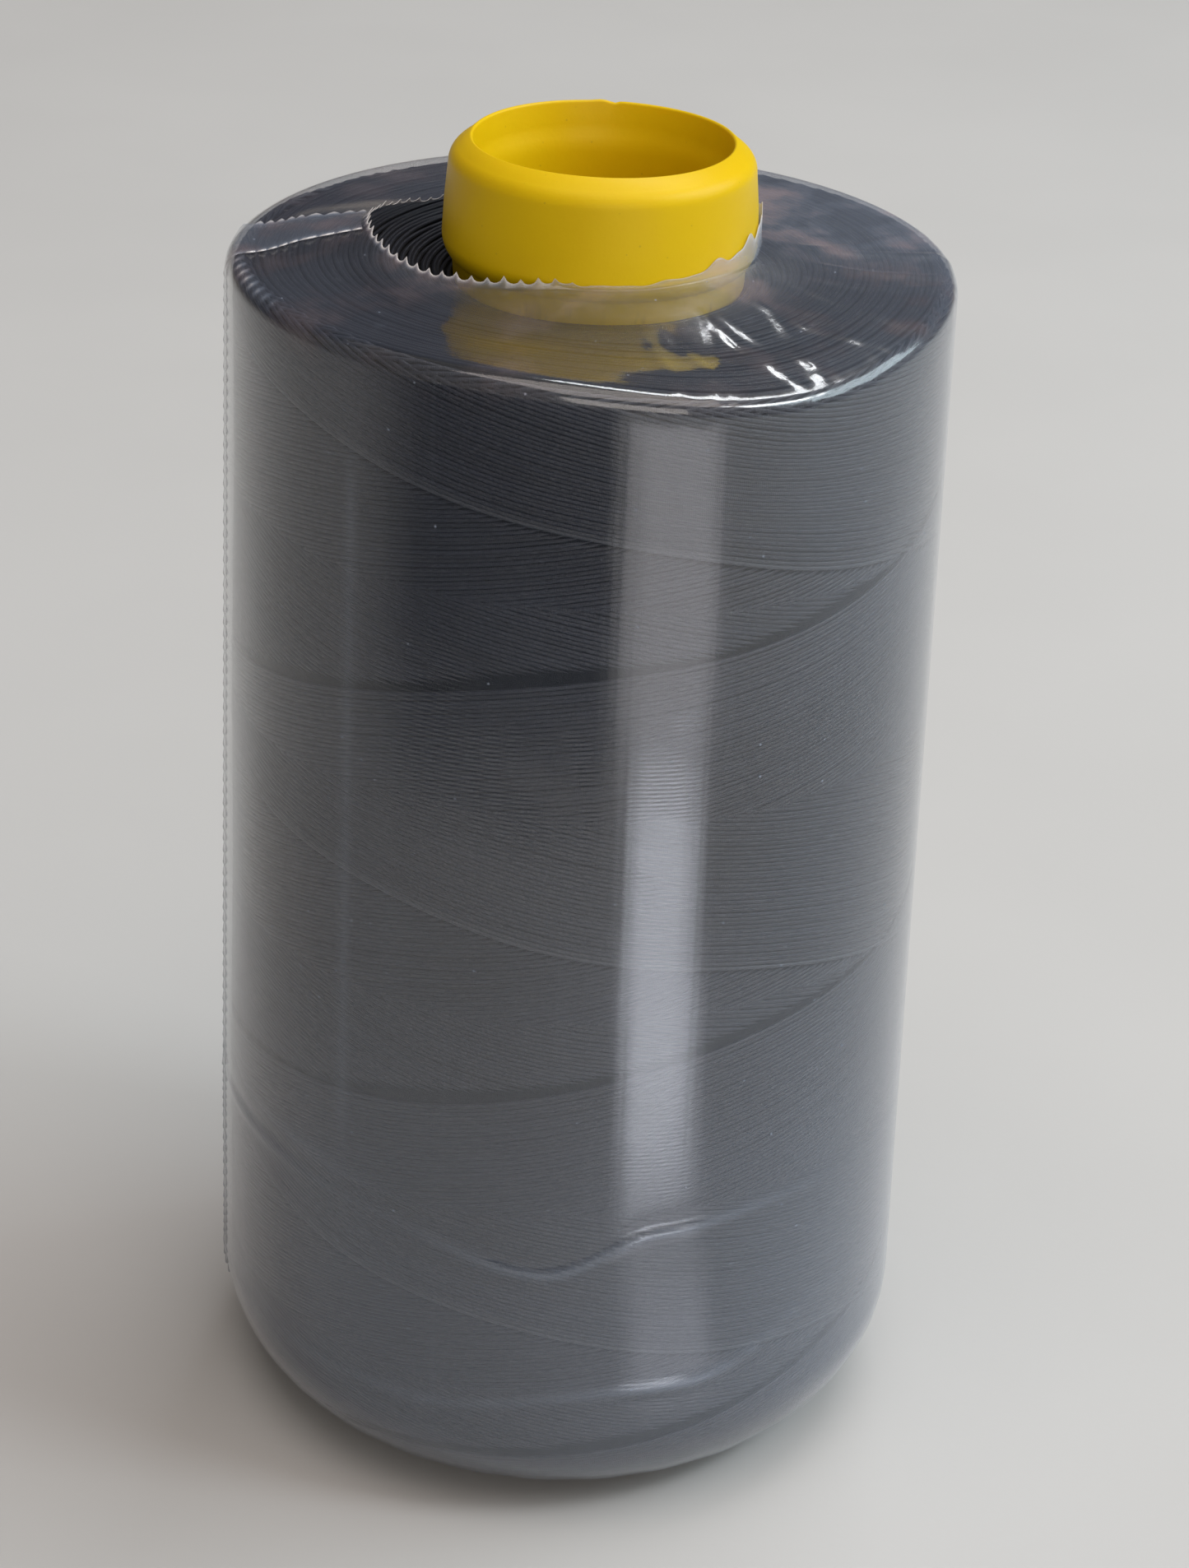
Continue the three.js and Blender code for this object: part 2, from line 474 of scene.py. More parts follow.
def packageReach():
    # lowest and highest values of that height
    w = windSet
    quarter = math.pi / 2
    low = spool["footBottom"] + spool["footRounding"] - (spool["footRounding"] - w["inset"]) * quarter
    high = spool["rimTop"] - w["inset"] + w["rimRise"] - w["rimRounding"] + w["rimRounding"] * quarter
    return low, high


def place(angle, radius, height, shift=0.0):
    return Vector((radius * math.cos(angle) + shift, radius * math.sin(angle),
                   height - slumpAt(angle, radius, height))) * mm


def layTube(bm, uvOf, path, index, start):
    # one closed strand along a path of (angle, height, out, thickness), as a grid rolled up
    w = windSet
    sides = w["sides"]
    made = bmesh.ops.create_grid(bm, x_segments=len(path) - 1, y_segments=sides, size=1)["verts"]
    columns = len(path)
    middle = None
    length = start
    for i, (angle, height, out, thickness) in enumerate(path):
        radius, z = packagePoint(height, out)
        centre = place(angle, radius, z, w["offAxis"])
        if middle is not None:
            length += (centre - middle).length / mm
        middle = centre
        outRadius, outZ = packagePoint(height, out + 1)
        outwards = (place(angle, outRadius, outZ, w["offAxis"]) - centre).normalized()
        before = path[max(i - 1, 0)]
        after = path[min(i + 1, columns - 1)]
        ahead = (place(after[0], *packagePoint(after[1], after[2]))
                 - place(before[0], *packagePoint(before[1], before[2]))).normalized()
        across = outwards.cross(ahead).normalized()
        for j in range(sides + 1):
            round_ = turn * j / sides
            vert = made[j * columns + i]
            vert.co = centre + (outwards * math.cos(round_) + across * math.sin(round_)) * thickness * mm
            uvOf[vert] = (length, index + j / (sides + 0.001))


def closeTubes(bm, uvOf):
    layer = bm.loops.layers.uv.new("UVMap")
    for face in bm.faces:
        for loop in face.loops:
            loop[layer].uv = uvOf[loop.vert]
    bmesh.ops.remove_doubles(bm, verts=bm.verts, dist=2e-7)
    bmesh.ops.recalc_face_normals(bm, faces=bm.faces)


def shared(angle, height):
    # slow wander of all the strands together
    return sum(size * math.sin(times * angle + lean * height) for size, times, lean in windSet["waves"])


def strandPath(rising, age, u, lead, edge):
    climb = lead * u if rising else -lead * u
    behind = -age * lead if rising else age * lead
    return edge + climb + behind


def woundTurns(rising):
    # every stretch of one direction's strands that lies uncovered
    w = windSet
    draw = random.Random(w["seed"] + rising)
    bm = bmesh.new()
    uvOf = {}
    lead = w["lead"]
    edge = w["risingEdge"] if rising else w["fallingEdge"]
    offset = (w["risingEdge"] - w["fallingEdge"]) / lead
    low, high = packageReach()
    for k in range(w["strands"]):
        age = (k + 0.5) / w["strands"]
        phase = draw.uniform(0, turn)
        sway = draw.uniform(0.4, 1.0) * w["wander"]
        if rising:
            firstU, lastU = (low - edge) / lead + age, (high - edge) / lead + age
        else:
            firstU, lastU = (edge - high) / lead + age, (edge - low) / lead + age
        firstN = math.floor(2 * firstU + offset - 1 - age)
        lastN = math.ceil(2 * lastU + offset - 2 * age)
        for n in range(firstN, lastN + 1):
            fromU = (2 * age + n - offset) / 2 - w["startBack"] - draw.uniform(0, w["startSpread"])
            toU = (1 + n + age - offset) / 2
            if rising:
                toU += w["risingOn"]
            else:
                ragged = math.sin(3 * toU * turn + 2) + math.sin(7.3 * toU * turn)
                toU -= w["groove"] + w["ragged"] * ragged + draw.uniform(0, w["grooveSpread"])
            fromU, toU = max(fromU, firstU), min(toU, lastU)
            if toU - fromU < w["shortest"]:
                continue
            count = max(3, round((toU - fromU) * 360 / w["stepAngle"]))
            path = []
            for i in range(count + 1):
                u = fromU + (toU - fromU) * i / count
                fromStart = (u - fromU) / w["startRun"]
                toEnd = (toU - u) / w["endRun"]
                buried = 1 - min(fromStart, 1)
                out = w["lift"] * (1 - age) - w["dive"] * buried * buried
                if rising:
                    out -= w["endDive"] * (1 - min(toEnd, 1))
                thick = w["radius"] * (0.02 if i in (0, count) else 1)
                angle = u * turn - turn / 4
                height = strandPath(rising, age, u, lead, edge)
                height += shared(angle, height) + sway * math.sin(u * turn * 2.3 + phase)
                path.append((angle, height, out, thick))
            layTube(bm, uvOf, path, k if rising else w["fallingFirst"] + k, draw.uniform(0, 40))
    closeTubes(bm, uvOf)
    return bm


def endTurns(inner, outer, faceHeight, seed):
    # the turns seen on an end face, as rings of strand that wander a little
    w = windSet
    draw = random.Random(seed)
    bm = bmesh.new()
    uvOf = {}
    pitch = w["endPitch"]
    count = w["endSteps"]
    sides = w["sides"]
    thick = w["radius"] * w["endThick"]
    for k in range(int((outer - inner) / pitch)):
        middle = inner + (k + 0.5) * pitch
        phase, phaseTwo = draw.uniform(0, turn), draw.uniform(0, turn)
        level = draw.uniform(-0.05, 0.05)
        made = bmesh.ops.create_grid(bm, x_segments=count, y_segments=sides, size=1)["verts"]
        for i in range(count + 1):
            angle = turn * i / count
            radius = middle + 0.10 * math.sin(3 * angle + phase) + 0.06 * math.sin(7 * angle + phaseTwo)
            centre = faceHeight(radius) + level
            for j in range(sides + 1):
                round_ = turn * j / sides
                vert = made[j * (count + 1) + i]
                vert.co = place(angle, radius + thick * math.sin(round_), centre + thick * math.cos(round_))
                uvOf[vert] = (angle * middle, w["endFirst"] + k + j / (sides + 0.001))
    closeTubes(bm, uvOf)
    return bm


def topFace(radius):
    w = windSet
    return spool["rimTop"] - w["inset"] + w["topLift"] - w["dish"] * (1 - ease(radius, 11.0, 20.5))


def bottomFace(radius):
    return spool["footBottom"] + windSet["inset"] - 0.1 + 0.8 * (1 - ease(radius, 17, 21))


def makeThread():
    w, c, tube = windSet, coreSet, tubeSet
    material = threadMaterial("slate_thread", 1.0)
    low, high = packageReach()
    neck = tube["neckRadius"] + c["clear"]
    foot = spool["tubeFoot"] + 2 * c["clear"]
    footTop = tube["footHeight"] + 2 * c["clear"]
    bottom = [(r, bottomFace(r) + c["under"]) for r in (foot, c["footRadius"])]
    wall = [packagePoint(low + (high - low) * i / c["rows"], -c["under"]) for i in range(c["rows"] + 1)]
    top = [(r, topFace(r) - c["endUnder"]) for r in (*c["topRadii"], neck)]
    inside = [(neck, tube["barrelTop"]), (tube["barrelFoot"] + 0.2, footTop), (foot, footTop)]
    bm = spun(bottom + wall + top + inside, c["steps"])
    for vert in bm.verts:
        angle, radius = math.atan2(vert.co.y, vert.co.x), math.hypot(vert.co.x, vert.co.y)
        vert.co.z -= slumpAt(angle, radius / mm, vert.co.z / mm) * mm
        vert.co.x += w["offAxis"] * mm * ease(radius / mm, 20, 28)
    layer = bm.loops.layers.uv.new("UVMap")
    for face in bm.faces:
        for loop in face.loops:
            angle = math.atan2(loop.vert.co.y, loop.vert.co.x)
            loop[layer].uv = (angle * 30, loop.vert.co.z / mm / 0.4)
    # the inner layers take the thread colour at 0.12: painted shade for the grooves between strands
    shadedInner = threadMaterial("slate_thread_shaded_inner", 0.12)
    rideOn(newPiece("thread_inner_layers", bm, shadedInner), "slate_thread", "thread_package")
    rideOn(newPiece("thread_rising_turns", woundTurns(True), material), "slate_thread")
    rideOn(newPiece("thread_falling_turns", woundTurns(False), material), "slate_thread")
    # the end-face turns take the thread colour at 0.6: painted shade where the collar and the dish shade
    # the ends
    ends = threadMaterial("slate_thread_ends_shaded", 0.6)
    rideOn(newPiece("thread_top_turns", endTurns(12.2, 28.2, topFace, 3), ends), "slate_thread")
    rideOn(newPiece("thread_foot_turns", endTurns(18.0, 20.9, bottomFace, 4), ends), "slate_thread")


makeThread()
print("thread wound")


filmSet = {
    "columns": 360,
    "teeth": 72,
    "toothDepth": 0.8,
    "holeCentre": (-3.2, 1.4),
    "holeRadii": (16.5, 14.5),
    "collarGap": 0.12,
    "rimRounding": 1.5,
    "topGap": -0.02,  # from the wrap's nominal top to the sheet
    "smoothFrom": (-106, -88),  # between these azimuths the nose hole's teeth fade out
    "smoothTo": (58, 44),  # and between these they come back
    "footHole": 19.2,
    "thickness": 0.04,
    "lapAzimuth": 180,
    "lapWidth": 7.4,
    "tent": 1.7,
    "loose": 0.06,  # how far inside the wrap's nominal surface it lies
    "lean": 0.38,  # it hugs the right side and stands off along the seam on the left
    "seamStand": 0.30,
    "lowWave": 0.12,
    "lipRows": 6,
    "topRows": 26,
    "rimRows": 6,
    "footRows": 12,
    "lipHeights": ((-180, 0.35), (-80, 0.45), (-58, 0.7), (-40, 1.7), (-15, 3.1), (12, 3.6), (34, 0.6),
                   (60, 0.2), (180, 0.35)),  # how high the edge turns up the collar, by azimuth
    "lapAcross": 12,
    "lapPitch": 1.1,
    "lapTooth": 0.42,
    "haze": 0.015,
    "lapHaze": 0.06,
    "mirror": 0.9,
    "lapMirror": 0.2,
    "rough": (0.07, 0.13),
    "rowPitch": 0.00039,  # of the strands pressed through
    "coolMilk": (0.41, 0.49, 0.63, 1),
    "pinkReflectionTint": (0.55, 0.48, 0.54, 1),
    # white of the pale cut edges and of the painted glints on teeth, creases and rim beads
    "frayGlintWhite": (0.86, 0.85, 0.87, 1),
}

# raised folds round the lower wall: heights by the angle from the front
creaseSet = {
    "level": ((-180, 33), (-61, 30.7), (-33, 30.1), (-3, 27.0), (16, 30.8), (36, 31.7), (180, 27)),
    "lower": ((-180, 9), (-26, 12.4), (12, 15.0), (22, 15.0), (51, 19.6), (180, 24)),
    "levelHeight": 0.30,
    "lowerHeight": 0.20,
    "shortHeight": 0.12,
}


def filmMaterial(name, haze, edgeMirror):
    # mostly clear, with a mirror that grows towards a grazing look, and a thin milkiness
    m, f = Maker(name), filmSet
    place = m.object()
    x, y, z = m.parts(place)
    # frayAndGlint: pale film edges, mostly painted glints where teeth, curl, crease ridges and rim beads
    # catch the light
    frayAndGlint = m.node("ShaderNodeAttribute", {"attribute_name": "frayAndGlint"}, None, out="Fac")
    wide = m.noise(m.scaled(place, (38, 38, 26)), 1.0, 3.0)
    drawn = m.noise(m.scaled(place, (800, 800, 12)), 1.0, 2.0, 0.6)
    fine = m.noise(m.scaled(place, (420, 420, 420)), 1.0, 1.0, 0.5)
    cloudy = m.noise(m.scaled(place, (120, 120, 120), (3, 1, 0)), 1.0, 4.0, 0.6)
    specks = m.node("ShaderNodeTexVoronoi", None, {"Vector": place, "Scale": 420.0})
    dust = specks.between(0.02, 0.06, 1.0, 0.0)
    top = z.between(0.1035, 0.1062)
    facing = m.node("ShaderNodeLayerWeight", None, {"Blend": 0.5}, out="Facing")
    rows = (z * (turn / f["rowPitch"]) + wide * 40.0 + x * 500.0).sine()
    pressed = m.noise(m.scaled(place, (90, 90, 160)), 1.0, 3.0).between(0.42, 0.62)
    # haze grows towards the bottom: partly the film's haze, partly a painted reflection of the bright floor
    # close by
    milk = haze + z.between(0.075, 0.012) * 0.06 + wide.between(0.35, 0.7) * 0.015
    # more haze on the right side: painted light where the window lights the wall
    milk = milk + x.between(0.010, 0.030) * 0.035
    # haze behind and right of the collar on the top: a painted sheen
    behind = x.between(-0.004, 0.016) * y.between(-0.008, 0.010)
    behind = behind * (0.05 + cloudy.between(0.38, 0.66) * 0.12)
    milk = milk + top * (behind + cloudy.between(0.5, 0.7) * 0.03)
    around = (x * x + y * y).power(0.5)
    nearCollar = around.between(0.0205, 0.0145) * y.between(0.004, -0.006)
    milk = milk + top * nearCollar * (0.02 + cloudy.between(0.4, 0.65) * 0.05)
    milk = milk + dust * 0.35 + drawn.between(0.62, 0.8) * 0.02 + frayAndGlint * 0.8
    rough = wide.between(0.3, 0.7, *f["rough"]) + fine * 0.04 + top * nearCollar * 0.16
    normal = m.bump(wide * 9.0 + fine * 0.06 + drawn * 0.5 + rows * pressed * 0.07, 0.0001, 0.3)
    clear = m.node("ShaderNodeBsdfTransparent", None, {"Color": grey(0.985)})
    shine = m.node("ShaderNodeBsdfGlossy", None, {"Color": grey(1), "Roughness": rough, "Normal": normal})
    mirror = 0.04 + facing.power(4.5) * edgeMirror
    sheet = m.node("ShaderNodeMixShader", None, {0: mirror, 1: clear, 2: shine})
    # patches of the top's haze turn pinkish: a painted reflection of the room
    tint = m.blend(cloudy.between(0.45, 0.62) * top, f["coolMilk"], f["pinkReflectionTint"])
    pale = m.blend(frayAndGlint.between(0.1, 0.5), tint, f["frayGlintWhite"])
    cloud = m.node("ShaderNodeBsdfPrincipled", None, {
        "Base Color": pale, "Roughness": 0.4, "Normal": normal, "Specular IOR Level": 0.5})
    return m.finish(m.node("ShaderNodeMixShader", None, {0: milk, 1: sheet, 2: cloud}))


def filmRadius(angle, height):
    f = filmSet
    hug = -f["lean"] * math.cos(angle)
    seam = f["seamStand"] * bellRound(angle, f["lapAzimuth"], 15)
    low = f["lowWave"] * math.sin(3 * angle + 0.5) * ease(height, 30, 12)
    return wallRadius(height) - f["loose"] + hug + seam + low


def along(stops, x):
    # eased from stop to stop of (x, value)
    for (fromX, fromValue), (toX, toValue) in zip(stops, stops[1:]):
        if x < toX:
            return fromValue + (toValue - fromValue) * ease(x, fromX, toX)
    return stops[-1][1]


def creaseAt(angle, height):
    # one fold runs round at about a quarter of the height, the others are short
    c = creaseSet
    front = (math.degrees(angle) + 90 + 540) % 360 - 180
    level = along(c["level"], front)
    lower = along(c["lower"], front)
    strong = 0.55 + 0.45 * math.sin(math.radians(front * 4 + 40))
    ridge = bell(height, level, 0.45) - 0.5 * bell(height, level + 0.9, 0.6)
    fold = c["levelHeight"] * strong * ridge * bell(front, -8, 62)
    second = c["lowerHeight"] * bell(height, lower, 0.5) * (bell(front, 20, 12) + 0.5 * bell(front, 0, 50))
    third = c["shortHeight"] * bell(height, level + 2.6, 0.5) * bell(front, -45, 12)
    return fold + second + third


def drawLine(angle, height):
    # a faint upright line where the sheet was stretched
    return 0.05 * bellRound(angle, -128, 0.9) * ease(height, 32, 40) * ease(height, 99, 95)


def drawFolds():
    # the gathers of the shrunk end face, as (azimuth, height, width, lean)
    draw = random.Random(21)
    folds = []
    azimuth = -78.0
    while azimuth < 22:
        folds.append((azimuth, draw.uniform(0.06, 0.26), draw.uniform(0.7, 1.7), draw.uniform(-0.9, 0.9)))
        azimuth += draw.uniform(3.5, 9.5)
    return folds


foldSet = drawFolds()


def filmTop(x, y, angle):
    # height of the wrap over the end face
    f = filmSet
    radius = math.hypot(x, y)
    tent = f["tent"] * math.exp(-((x + 18.5) ** 2 + (y - 0.5) ** 2) / 62) * ease(29.5 - radius, 0, 5)
    ramp = 1.5 * (1 - ease(radius, 11.5, 23)) * (0.5 + 0.5 * math.cos(angle + math.radians(60)))
    folds = 0.0
    for azimuth, height, width, lean in foldSet:
        start = azimuth + lean * (radius - 22)
        folds += height * bellRound(angle, start, width * 22 / max(radius, 14))
    folds *= ease(radius, 15.5, 21)
    waves = 0.06 * math.sin(0.45 * x + 0.3 * y + 1) + 0.04 * math.sin(0.8 * y - 0.4 * x)
    return (spool["rimTop"] + f["topGap"] + tent + ramp + folds + waves * ease(29 - radius, 0, 6)
            - slumpAt(angle, radius, spool["rimTop"]))


def offCollar(x, y):
    # the same point, or the nearest one just clear of the tube's collar
    least = tubeSet["beadRadius"] + filmSet["collarGap"]
    radius = math.hypot(x, y)
    if radius < least:
        return x * least / radius, y * least / radius
    return x, y


def holeEdge(angle):
    (cx, cy), (a, b) = filmSet["holeCentre"], filmSet["holeRadii"]
    return offCollar(cx + a * math.cos(angle), cy + b * math.sin(angle))


def filmRows():
    # rows from the nose hole to the foot hole: (kind, how far along it)
    f = filmSet
    rows = [("lip", i / f["lipRows"]) for i in range(f["lipRows"])]
    rows += [("top", (i / f["topRows"]) ** 1.25) for i in range(f["topRows"] + 1)]
    rows += [("rim", i / f["rimRows"]) for i in range(1, f["rimRows"])]
    z, below = spool["rimTop"] - f["rimRounding"], spool["footBottom"] + spool["footRounding"]
    while z > below + 0.5:
        rows.append(("wall", z))
        folded = 25.5 < z < 33 or 12 < z < 16.5
        z -= 2.6 if z > 40 else 0.45 if folded else 0.95
    rows += [("foot", i / f["footRows"]) for i in range(f["footRows"] + 1)]
    rows += [("under", i / 4) for i in range(1, 5)]
    return rows


def filmPoint(angle, kind, t, column):
    f = filmSet
    part = column % (f["columns"] // f["teeth"])
    notch = math.sin(turn / 2 * part * f["teeth"] / f["columns"]) ** 0.6
    rim = filmRadius(angle, spool["rimTop"]) - f["rimRounding"]
    if kind in ("lip", "top"):
        hx, hy = holeEdge(angle)
        toRim = Vector((rim * math.cos(angle) - hx, rim * math.sin(angle) - hy, 0))
        if kind == "top":
            x, y = hx + toRim.x * t, hy + toRim.y * t
            return Vector((x, y, filmTop(x, y, math.atan2(y, x)))) * mm
        # the toothed edge itself: flat and ragged at the left, turned up against the collar at the right
        away = toRim.normalized()
        azimuth = math.degrees(math.atan2(hy, hx))
        smooth = ease(azimuth, *f["smoothFrom"]) * ease(azimuth, *f["smoothTo"])
        sharp = (1 - notch) * (1 - smooth)
        up = along(f["lipHeights"], azimuth) + 0.35 * sharp
        tooth = f["toothDepth"] * sharp
        reach = (1 - t) * (1.0 + tooth) * (1 - 0.9 * min(up / 2.5, 1))
        ripple = 0.12 * math.sin(23 * angle) + 0.08 * math.sin(41 * angle + 1)
        curl = up * (1 - t) ** 1.2 * (0.8 + 0.2 * sharp + ripple)
        x, y = offCollar(hx - away.x * reach * 0.6, hy - away.y * reach * 0.6)
        return Vector((x, y, filmTop(hx, hy, math.atan2(hy, hx)) + curl)) * mm
    if kind == "rim":
        bend = math.pi / 2 * (1 - t)
        radius = rim + f["rimRounding"] * math.cos(bend)
        z = spool["rimTop"] + f["topGap"] - f["rimRounding"] * (1 - math.sin(bend))
        radius += 0.6 * sum(h * bellRound(angle, a + lean * 7, w) for a, h, w, lean in foldSet) * (1 - t)
        return place(angle, radius, z)
    if kind == "wall":
        return place(angle, filmRadius(angle, t) + creaseAt(angle, t), t)
    centreZ = spool["footBottom"] + spool["footRounding"]
    centreR = filmRadius(angle, centreZ) - spool["footRounding"]
    if kind == "foot":
        bend = math.pi / 2 * t
        pucker = 0.12 * math.sin(30 * angle) * t * t
        reach = spool["footRounding"] + pucker + creaseAt(angle, centreZ - 16 * t)
        return place(angle, centreR + reach * math.cos(bend), centreZ - reach * math.sin(bend) + 0.08)
    reach = centreR + (f["footHole"] + f["toothDepth"] * (1 - notch) * 0.6 - centreR) * t
    lowest = spool["footBottom"] + 0.08 + 0.1 * (1 + math.sin(30 * angle)) * (1 - t)
    return place(angle, reach, lowest)


def sheetPiece(name, bm, material, node):
    piece = newPiece(name, bm, material)
    wall = piece.modifiers.new("thickness", "SOLIDIFY")
    wall.thickness = filmSet["thickness"] * mm
    wall.offset = 0
    rideOn(piece, "clear_film", node)


def makeFilm():
    f = filmSet
    rows = filmRows()
    columns = f["columns"]
    bm = bmesh.new()
    frayAndGlint = bm.verts.layers.float.new("frayAndGlint")
    made = bmesh.ops.create_grid(bm, x_segments=columns, y_segments=len(rows) - 1, size=1)["verts"]
    for j, (kind, t) in enumerate(rows):
        for i in range(columns + 1):
            angle = turn * (i % columns) / columns
            vert = made[j * (columns + 1) + i]
            vert.co = filmPoint(angle, kind, t, i)
            curled = bellRound(angle, -8, 32)
            shown = 0.15 + 0.85 * (1 - bellRound(angle, -40, 62) ** 0.4)
            # painted glints on the nose hole's teeth and curl, crease ridges, front-left rim beads and the
            # foot hole's edge, with the faint stretch line
            if kind == "lip":
                vert[frayAndGlint] = shown * (1 - t) ** 3 + curled * 0.27 * (1 - t) ** 0.4
            elif kind == "wall":
                vert[frayAndGlint] = max(creaseAt(angle, t), 0) * 0.55 + drawLine(angle, t)
            elif kind == "rim":
                crimp = 1.0 if i % 3 == 0 else 0.15
                vert[frayAndGlint] = 0.45 * crimp * bellRound(angle, -164, 12) * bell(t, 0.33, 0.2)
            elif kind == "under":
                vert[frayAndGlint] = ease(t, 0.7, 1)
    bmesh.ops.remove_doubles(bm, verts=bm.verts, dist=1e-7)
    bmesh.ops.recalc_face_normals(bm, faces=bm.faces)
    sheetPiece("film_sleeve_sheet", bm, filmMaterial("clear_film", f["haze"], f["mirror"]), "film_sleeve")


def makeLap():
    # the sealed overlap: a band over the sleeve with the saw-cut edge of the sheet on both sides
    f = filmSet
    half = f["lapWidth"] / 2
    across = f["lapAcross"]
    centre = math.radians(f["lapAzimuth"])
    rows = [row for row in filmRows() if row[0] != "lip"]
    points = [filmPoint(centre, kind, t, 0) for kind, t in rows]
    fine = []
    for (a, rowA), (b, rowB) in zip(zip(points, rows), zip(points[1:], rows[1:])):
        span = (b - a).length / mm
        parts = max(1, round(span / (f["lapPitch"] / 4)))
        for i in range(parts):
            if rowA[0] == rowB[0]:
                fine.append((rowA[0], rowA[1] + (rowB[1] - rowA[1]) * i / parts))
            elif i == 0:
                fine.append(rowA)
    bm = bmesh.new()
    frayAndGlint = bm.verts.layers.float.new("frayAndGlint")
    made = bmesh.ops.create_grid(bm, x_segments=across, y_segments=len(fine) - 1, size=1)["verts"]
    for j, (kind, t) in enumerate(fine):
        notch = (0.0, 0.6, 1.0, 0.6)[j % 4]
        for i in range(across + 1):
            side = i / across * 2 - 1
            wide = (half + f["lapTooth"] * notch) * side
            level = 30.0 if kind in ("wall", "rim", "foot") else 24 if kind == "under" else 20 + 9 * t
            angle = centre + wide / level
            point = filmPoint(angle, kind, t, 0)
            flat = Vector((point.x, point.y, 0)).normalized()
            out = {"top": Vector((0, 0, 1)), "under": Vector((0, 0, -1)), "wall": flat}.get(kind)
            if out is None:
                out = (flat + Vector((0, 0, 1 if kind == "rim" else -t))).normalized()
            lifted = 0.10 + 0.16 * notch * abs(side) ** 6
            vert = made[j * (across + 1) + i]
            vert.co = point + out * lifted * mm
            seen = 1.0 if kind == "top" else 0.3
            # painted glints along the band's saw-cut edges, strongest on the top
            vert[frayAndGlint] = seen * abs(side) ** 10 * (1 if side > 0 else 0.6) * (1 - 0.8 * (1 - notch))
    bmesh.ops.recalc_face_normals(bm, faces=bm.faces)
    material = filmMaterial("clear_film_lap", f["lapHaze"], f["lapMirror"])
    sheetPiece("film_lap_band", bm, material, "film_lap_seam")


makeFilm()
makeLap()
print("film wrapped")


stageSet = {
    "floorHalf": 3.0,
    "floorTone": (0.535, 0.535, 0.53, 1),
    "floorDeep": (0.52, 0.52, 0.515, 1),
    "worldTone": (0.60, 0.54, 0.49, 1),
    "worldStrength": 0.38,
}


def makeStage():
    m = Maker("pale_floor")
    place = m.object()
    mottle = m.noise(place, 14.0, 3.0)
    grain = m.noise(place, 1500.0, 2.0)
    tone = m.blend(mottle.between(0.3, 0.7), stageSet["floorDeep"], stageSet["floorTone"])
    shader = m.node("ShaderNodeBsdfPrincipled", None, {
        "Base Color": tone, "Roughness": 0.95, "Specular IOR Level": 0.1,
        "Normal": m.bump(grain, 0.00005, 0.2)})
    bm = bmesh.new()
    bmesh.ops.create_grid(bm, x_segments=2, y_segments=2, size=stageSet["floorHalf"])
    floor = newPiece("floor", bm, m.finish(shader), smooth=False)
    world = bpy.data.worlds.new("soft_room")
    world.use_nodes = True
    world.node_tree.nodes["Background"].inputs["Color"].default_value = stageSet["worldTone"]
    world.node_tree.nodes["Background"].inputs["Strength"].default_value = stageSet["worldStrength"]
    bpy.context.scene.world = world


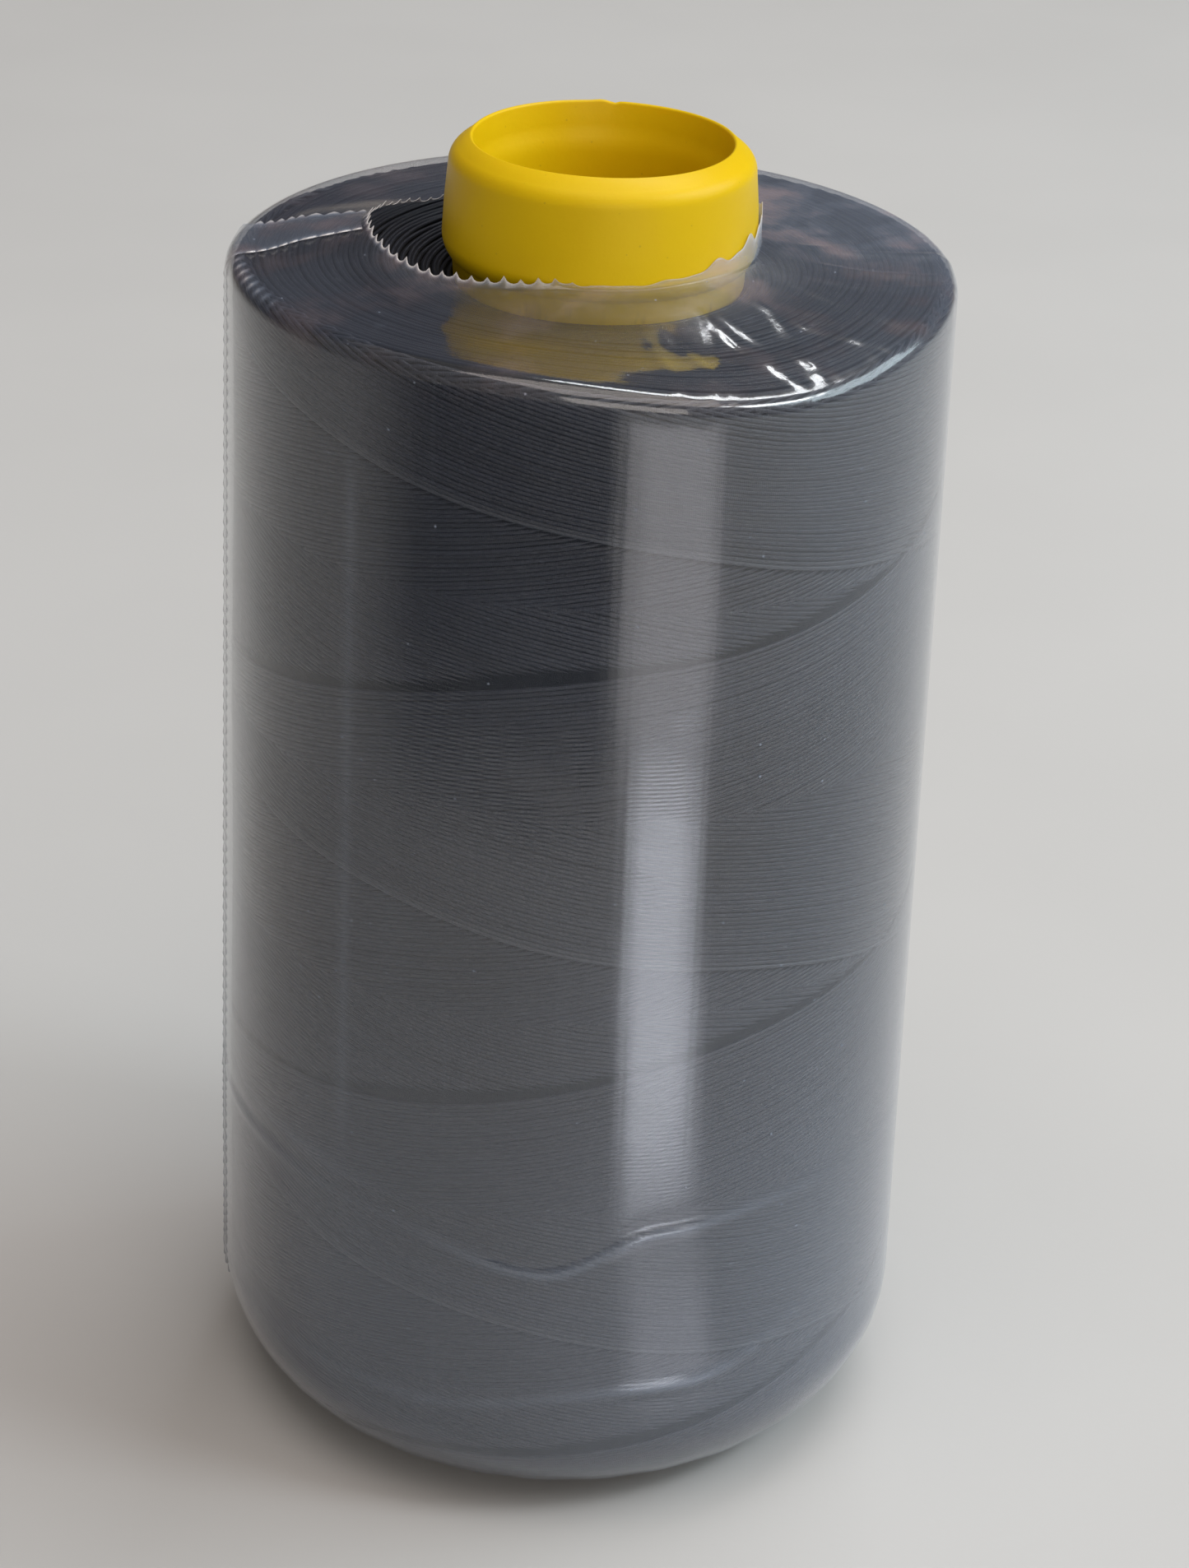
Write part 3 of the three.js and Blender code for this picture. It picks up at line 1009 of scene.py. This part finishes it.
def addCard(name, radii, azimuths, soft, glow, heights=(0.5, 0.5)):
    # a soft-edged card out of sight, flat on the floor or leaning up, which only shows in reflections
    m = Maker(name)
    bm = bmesh.new()
    corners = [bm.verts.new((radius * mm, 0, height * mm)) for radius, height in zip(radii, heights)]
    edge = bm.edges.new(corners)
    start = Matrix.Rotation(math.radians(azimuths[0]), 3, "Z")
    bmesh.ops.rotate(bm, verts=corners, cent=(0, 0, 0), matrix=start)
    bmesh.ops.spin(bm, geom=[*corners, edge], cent=(0, 0, 0), axis=(0, 0, 1), dvec=(0, 0, 0),
                   angle=math.radians(azimuths[1] - azimuths[0]), steps=16, use_duplicate=False)
    x, y = m.parts(m.object())[:2]
    azimuth = m.node("ShaderNodeMath", {"operation": "ARCTAN2"}, {0: y, 1: x}) * (360 / turn)
    radius = (x * x + y * y).power(0.5) / mm
    left, right, ends = soft
    mask = azimuth.between(azimuths[0], azimuths[0] + left)
    mask = mask * azimuth.between(azimuths[1], azimuths[1] - right)
    mask = mask * radius.between(radii[0], radii[0] + ends) * radius.between(radii[1], radii[1] - ends)
    shader = m.node("ShaderNodeEmission", None, {"Color": (*glow, 1), "Strength": 1.0})
    gone = m.node("ShaderNodeBsdfTransparent")
    material = m.finish(m.node("ShaderNodeMixShader", None, {0: mask, 1: gone, 2: shader}))
    card = newPiece(name, bm, material, smooth=False)
    card.visible_camera = False
    card.visible_diffuse = False
    card.visible_shadow = False
    card.visible_transmission = False


def addPanel(name, azimuth, elevation, distance, size, power, colour=(1, 1, 1)):
    # a soft rectangular light aimed at the middle of the spool
    data = bpy.data.lights.new(name, "AREA")
    data.shape = "RECTANGLE"
    data.size, data.size_y = size
    data.energy = power
    data.color = colour
    lamp = bpy.data.objects.new(name, data)
    a, e = math.radians(azimuth), math.radians(elevation)
    target = Vector((0, 0, spool["height"] / 2 * mm))
    back = Vector((math.cos(a) * math.cos(e), math.sin(a) * math.cos(e), math.sin(e)))
    turned = back.to_track_quat("Z", "Y").to_matrix().to_4x4()
    lamp.matrix_world = Matrix.Translation(target + back * distance) @ turned
    bpy.context.collection.objects.link(lamp)


makeStage()
addPanel("overhead", -60, 72, 1.6, (1.5, 1.5), 13.7, (1.0, 0.90, 0.84))
addPanel("window", 2, 32, 1.4, (1.0, 0.65), 9.4, (0.77, 0.93, 1.0))
addPanel("bright_pane", -18, 43, 1.1, (0.26, 0.16), 2.2, (0.94, 0.97, 1.0))
addPanel("rear_pane", 54, 62, 1.2, (0.7, 0.15), 4.0, (0.95, 0.97, 1.0))
addPanel("front_fill", -75, 18, 1.2, (0.8, 0.5), 2.8, (1.0, 0.93, 0.86))
addCard("dark_card", (170, 900), (-168, -77), (34, 5, 30), (0.02, 0.02, 0.025))
addCard("rear_card", (900, 1150), (20, 178), (20, 20, 25), (0.055, 0.055, 0.07), heights=(40, 1500))
addCard("far_card", (180, 460), (-82, -46), (12, 9, 16), (2.0, 1.95, 2.0))
addCard("near_card", (66, 204), (-77, -48), (8, 12, 38), (4.2, 4.3, 4.7))
addCard("foot_card", (44, 78), (-76, -47), (9, 8, 10), (1.5, 1.5, 1.6))
print("stage and lights set")
